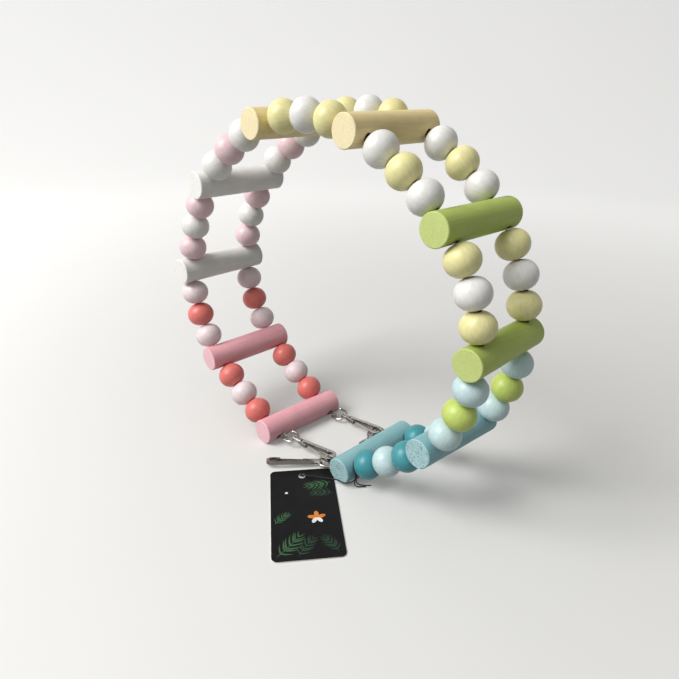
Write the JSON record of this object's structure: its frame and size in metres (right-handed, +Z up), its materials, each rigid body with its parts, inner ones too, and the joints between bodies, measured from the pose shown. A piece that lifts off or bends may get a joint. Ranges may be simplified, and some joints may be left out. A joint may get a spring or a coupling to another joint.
{
  "type": "bird ladder",
  "caption": "Bendable bird ladder of dowel rungs and round beads on two wires, closed into a standing hoop by swivel snap hooks, with a hang tag.",
  "frame": {"origin": "on the surface that the hoop stands on, in the middle of its footprint without the tag and its thread", "axes": "+Z up; +X from the pink end of the ladder to its blue end, across the hoop's face; +Y along the rungs, from the string by the tag to the other one"},
  "size_m": [0.2102, 0.1191, 0.1945],
  "materials": {
    "rung_pink": "matt paint on turned wood",
    "rung_white": "matt paint on turned wood",
    "rung_butter": "matt paint on turned wood",
    "rung_green": "matt paint on turned wood",
    "rung_aqua": "matt paint on turned wood",
    "bead_coral": "satin paint on turned wood",
    "bead_light_pink": "satin paint on turned wood",
    "bead_pink": "satin paint on turned wood",
    "bead_white": "satin paint on turned wood",
    "bead_yellow": "satin paint on turned wood",
    "bead_light_blue": "satin paint on turned wood",
    "bead_teal": "satin paint on turned wood",
    "bead_lime": "satin paint on turned wood",
    "wire": "drawn steel wire",
    "nickel": "bright nickel plate",
    "tag_card": "black coated card",
    "thread": "black waxed thread"
  },
  "bodies": {
    "ladder": {"rung_1": "rung_pink", "rung_2": "rung_pink", "rung_3": "rung_white", "rung_4": "rung_white", "rung_5": "rung_butter", "rung_6": "rung_butter", "rung_7": "rung_green", "rung_8": "rung_green", "rung_9": "rung_aqua", "rung_10": "rung_aqua", "outer_beads_1_near": "bead_coral", "outer_beads_1_far": "bead_coral", "outer_beads_2_near": "bead_light_pink", "outer_beads_2_far": "bead_light_pink", "outer_beads_3_near": "bead_pink", "outer_beads_3_far": "bead_pink", "outer_beads_4_near": "bead_white", "outer_beads_4_far": "bead_white", "outer_beads_5_near": "bead_yellow", "outer_beads_5_far": "bead_yellow", "outer_beads_6_near": "bead_white", "outer_beads_6_far": "bead_white", "outer_beads_7_near": "bead_yellow", "outer_beads_7_far": "bead_yellow", "outer_beads_8_near": "bead_light_blue", "outer_beads_8_far": "bead_light_blue", "outer_beads_9_near": "bead_teal", "outer_beads_9_far": "bead_teal", "middle_beads_1": "bead_light_pink", "middle_beads_2": "bead_coral", "middle_beads_3": "bead_white", "middle_beads_4": "bead_pink", "middle_beads_5": "bead_white", "middle_beads_6": "bead_yellow", "middle_beads_7": "bead_white", "middle_beads_8": "bead_lime", "middle_beads_9": "bead_light_blue", "string_wire_near": "wire", "string_wire_far": "wire", "hang_tag": "tag_card", "tag_thread": "thread", "swivel_eye_1_near": "nickel", "swivel_eye_1_far": "nickel"},
    "hook_pink_near": {"hook_1_near": "nickel"},
    "gate_pink_near": {"gate_1_near": "nickel"},
    "hook_pink_far": {"hook_1_far": "nickel"},
    "gate_pink_far": {"gate_1_far": "nickel"},
    "eye_blue_near": {"swivel_eye_10_near": "nickel"},
    "hook_blue_near": {"hook_10_near": "nickel"},
    "gate_blue_near": {"gate_10_near": "nickel"},
    "eye_blue_far": {"swivel_eye_10_far": "nickel"},
    "hook_blue_far": {"hook_10_far": "nickel"},
    "gate_blue_far": {"gate_10_far": "nickel"}
  },
  "joints": [
    {"name": "swivel_pink_near", "type": "hinge", "parent": "ladder", "child": "hook_pink_near", "pos_m": [-0.02195, -0.0105, 0.00527], "axis": [0.9991, -0.0349, 0.0242], "range_deg": [-10, 0]},
    {"name": "gate_press_pink_near", "type": "hinge", "parent": "hook_pink_near", "child": "gate_pink_near", "pos_m": [-0.00724, -0.01171, 0.00558], "axis": [-0.0266, -0.0689, 0.9973], "range_deg": [0, 9], "stiffness_Nm_per_rad": 0.002, "springref_deg": -5.73},
    {"name": "swivel_pink_far", "type": "hinge", "parent": "ladder", "child": "hook_pink_far", "pos_m": [-0.01652, 0.0295, 0.00406], "axis": [0.9939, -0.094, 0.0575], "range_deg": [-10, 0]},
    {"name": "gate_press_pink_far", "type": "hinge", "parent": "hook_pink_far", "child": "gate_pink_far", "pos_m": [-0.00192, 0.02742, 0.00486], "axis": [-0.0637, -0.0641, 0.9959], "range_deg": [0, 9], "stiffness_Nm_per_rad": 0.002, "springref_deg": -5.73},
    {"name": "swing_blue_near", "type": "hinge", "parent": "ladder", "child": "eye_blue_near", "pos_m": [0.0125, -0.0127, 0.0031], "axis": [-0.014, -0.011, 0.9998], "range_deg": [-20, 6]},
    {"name": "swivel_blue_near", "type": "hinge", "parent": "eye_blue_near", "child": "hook_blue_near", "pos_m": [0.01492, -0.0114, 0.00316], "axis": [-0.7985, -0.6017, -0.0175], "continuous": true},
    {"name": "gate_press_blue_near", "type": "hinge", "parent": "hook_blue_near", "child": "gate_blue_near", "pos_m": [0.00275, -0.01975, 0.00266], "axis": [-0.2189, 0.2633, 0.9395], "range_deg": [0, 9], "stiffness_Nm_per_rad": 0.002, "springref_deg": -5.73},
    {"name": "swing_blue_far", "type": "hinge", "parent": "ladder", "child": "eye_blue_far", "pos_m": [0.01773, 0.0273, 0.0031], "axis": [0, -0.051, 0.9987], "range_deg": [-20, 0]},
    {"name": "swivel_blue_far", "type": "hinge", "parent": "eye_blue_far", "child": "hook_blue_far", "pos_m": [0.01706, 0.0303, 0.00316], "axis": [0, -0.9987, -0.0506], "continuous": true},
    {"name": "gate_press_blue_far", "type": "hinge", "parent": "hook_blue_far", "child": "gate_blue_far", "pos_m": [0.01636, 0.01557, 0.00241], "axis": [0, -0.0506, 0.9987], "range_deg": [0, 9], "stiffness_Nm_per_rad": 0.002, "springref_deg": -5.73}
  ]
}
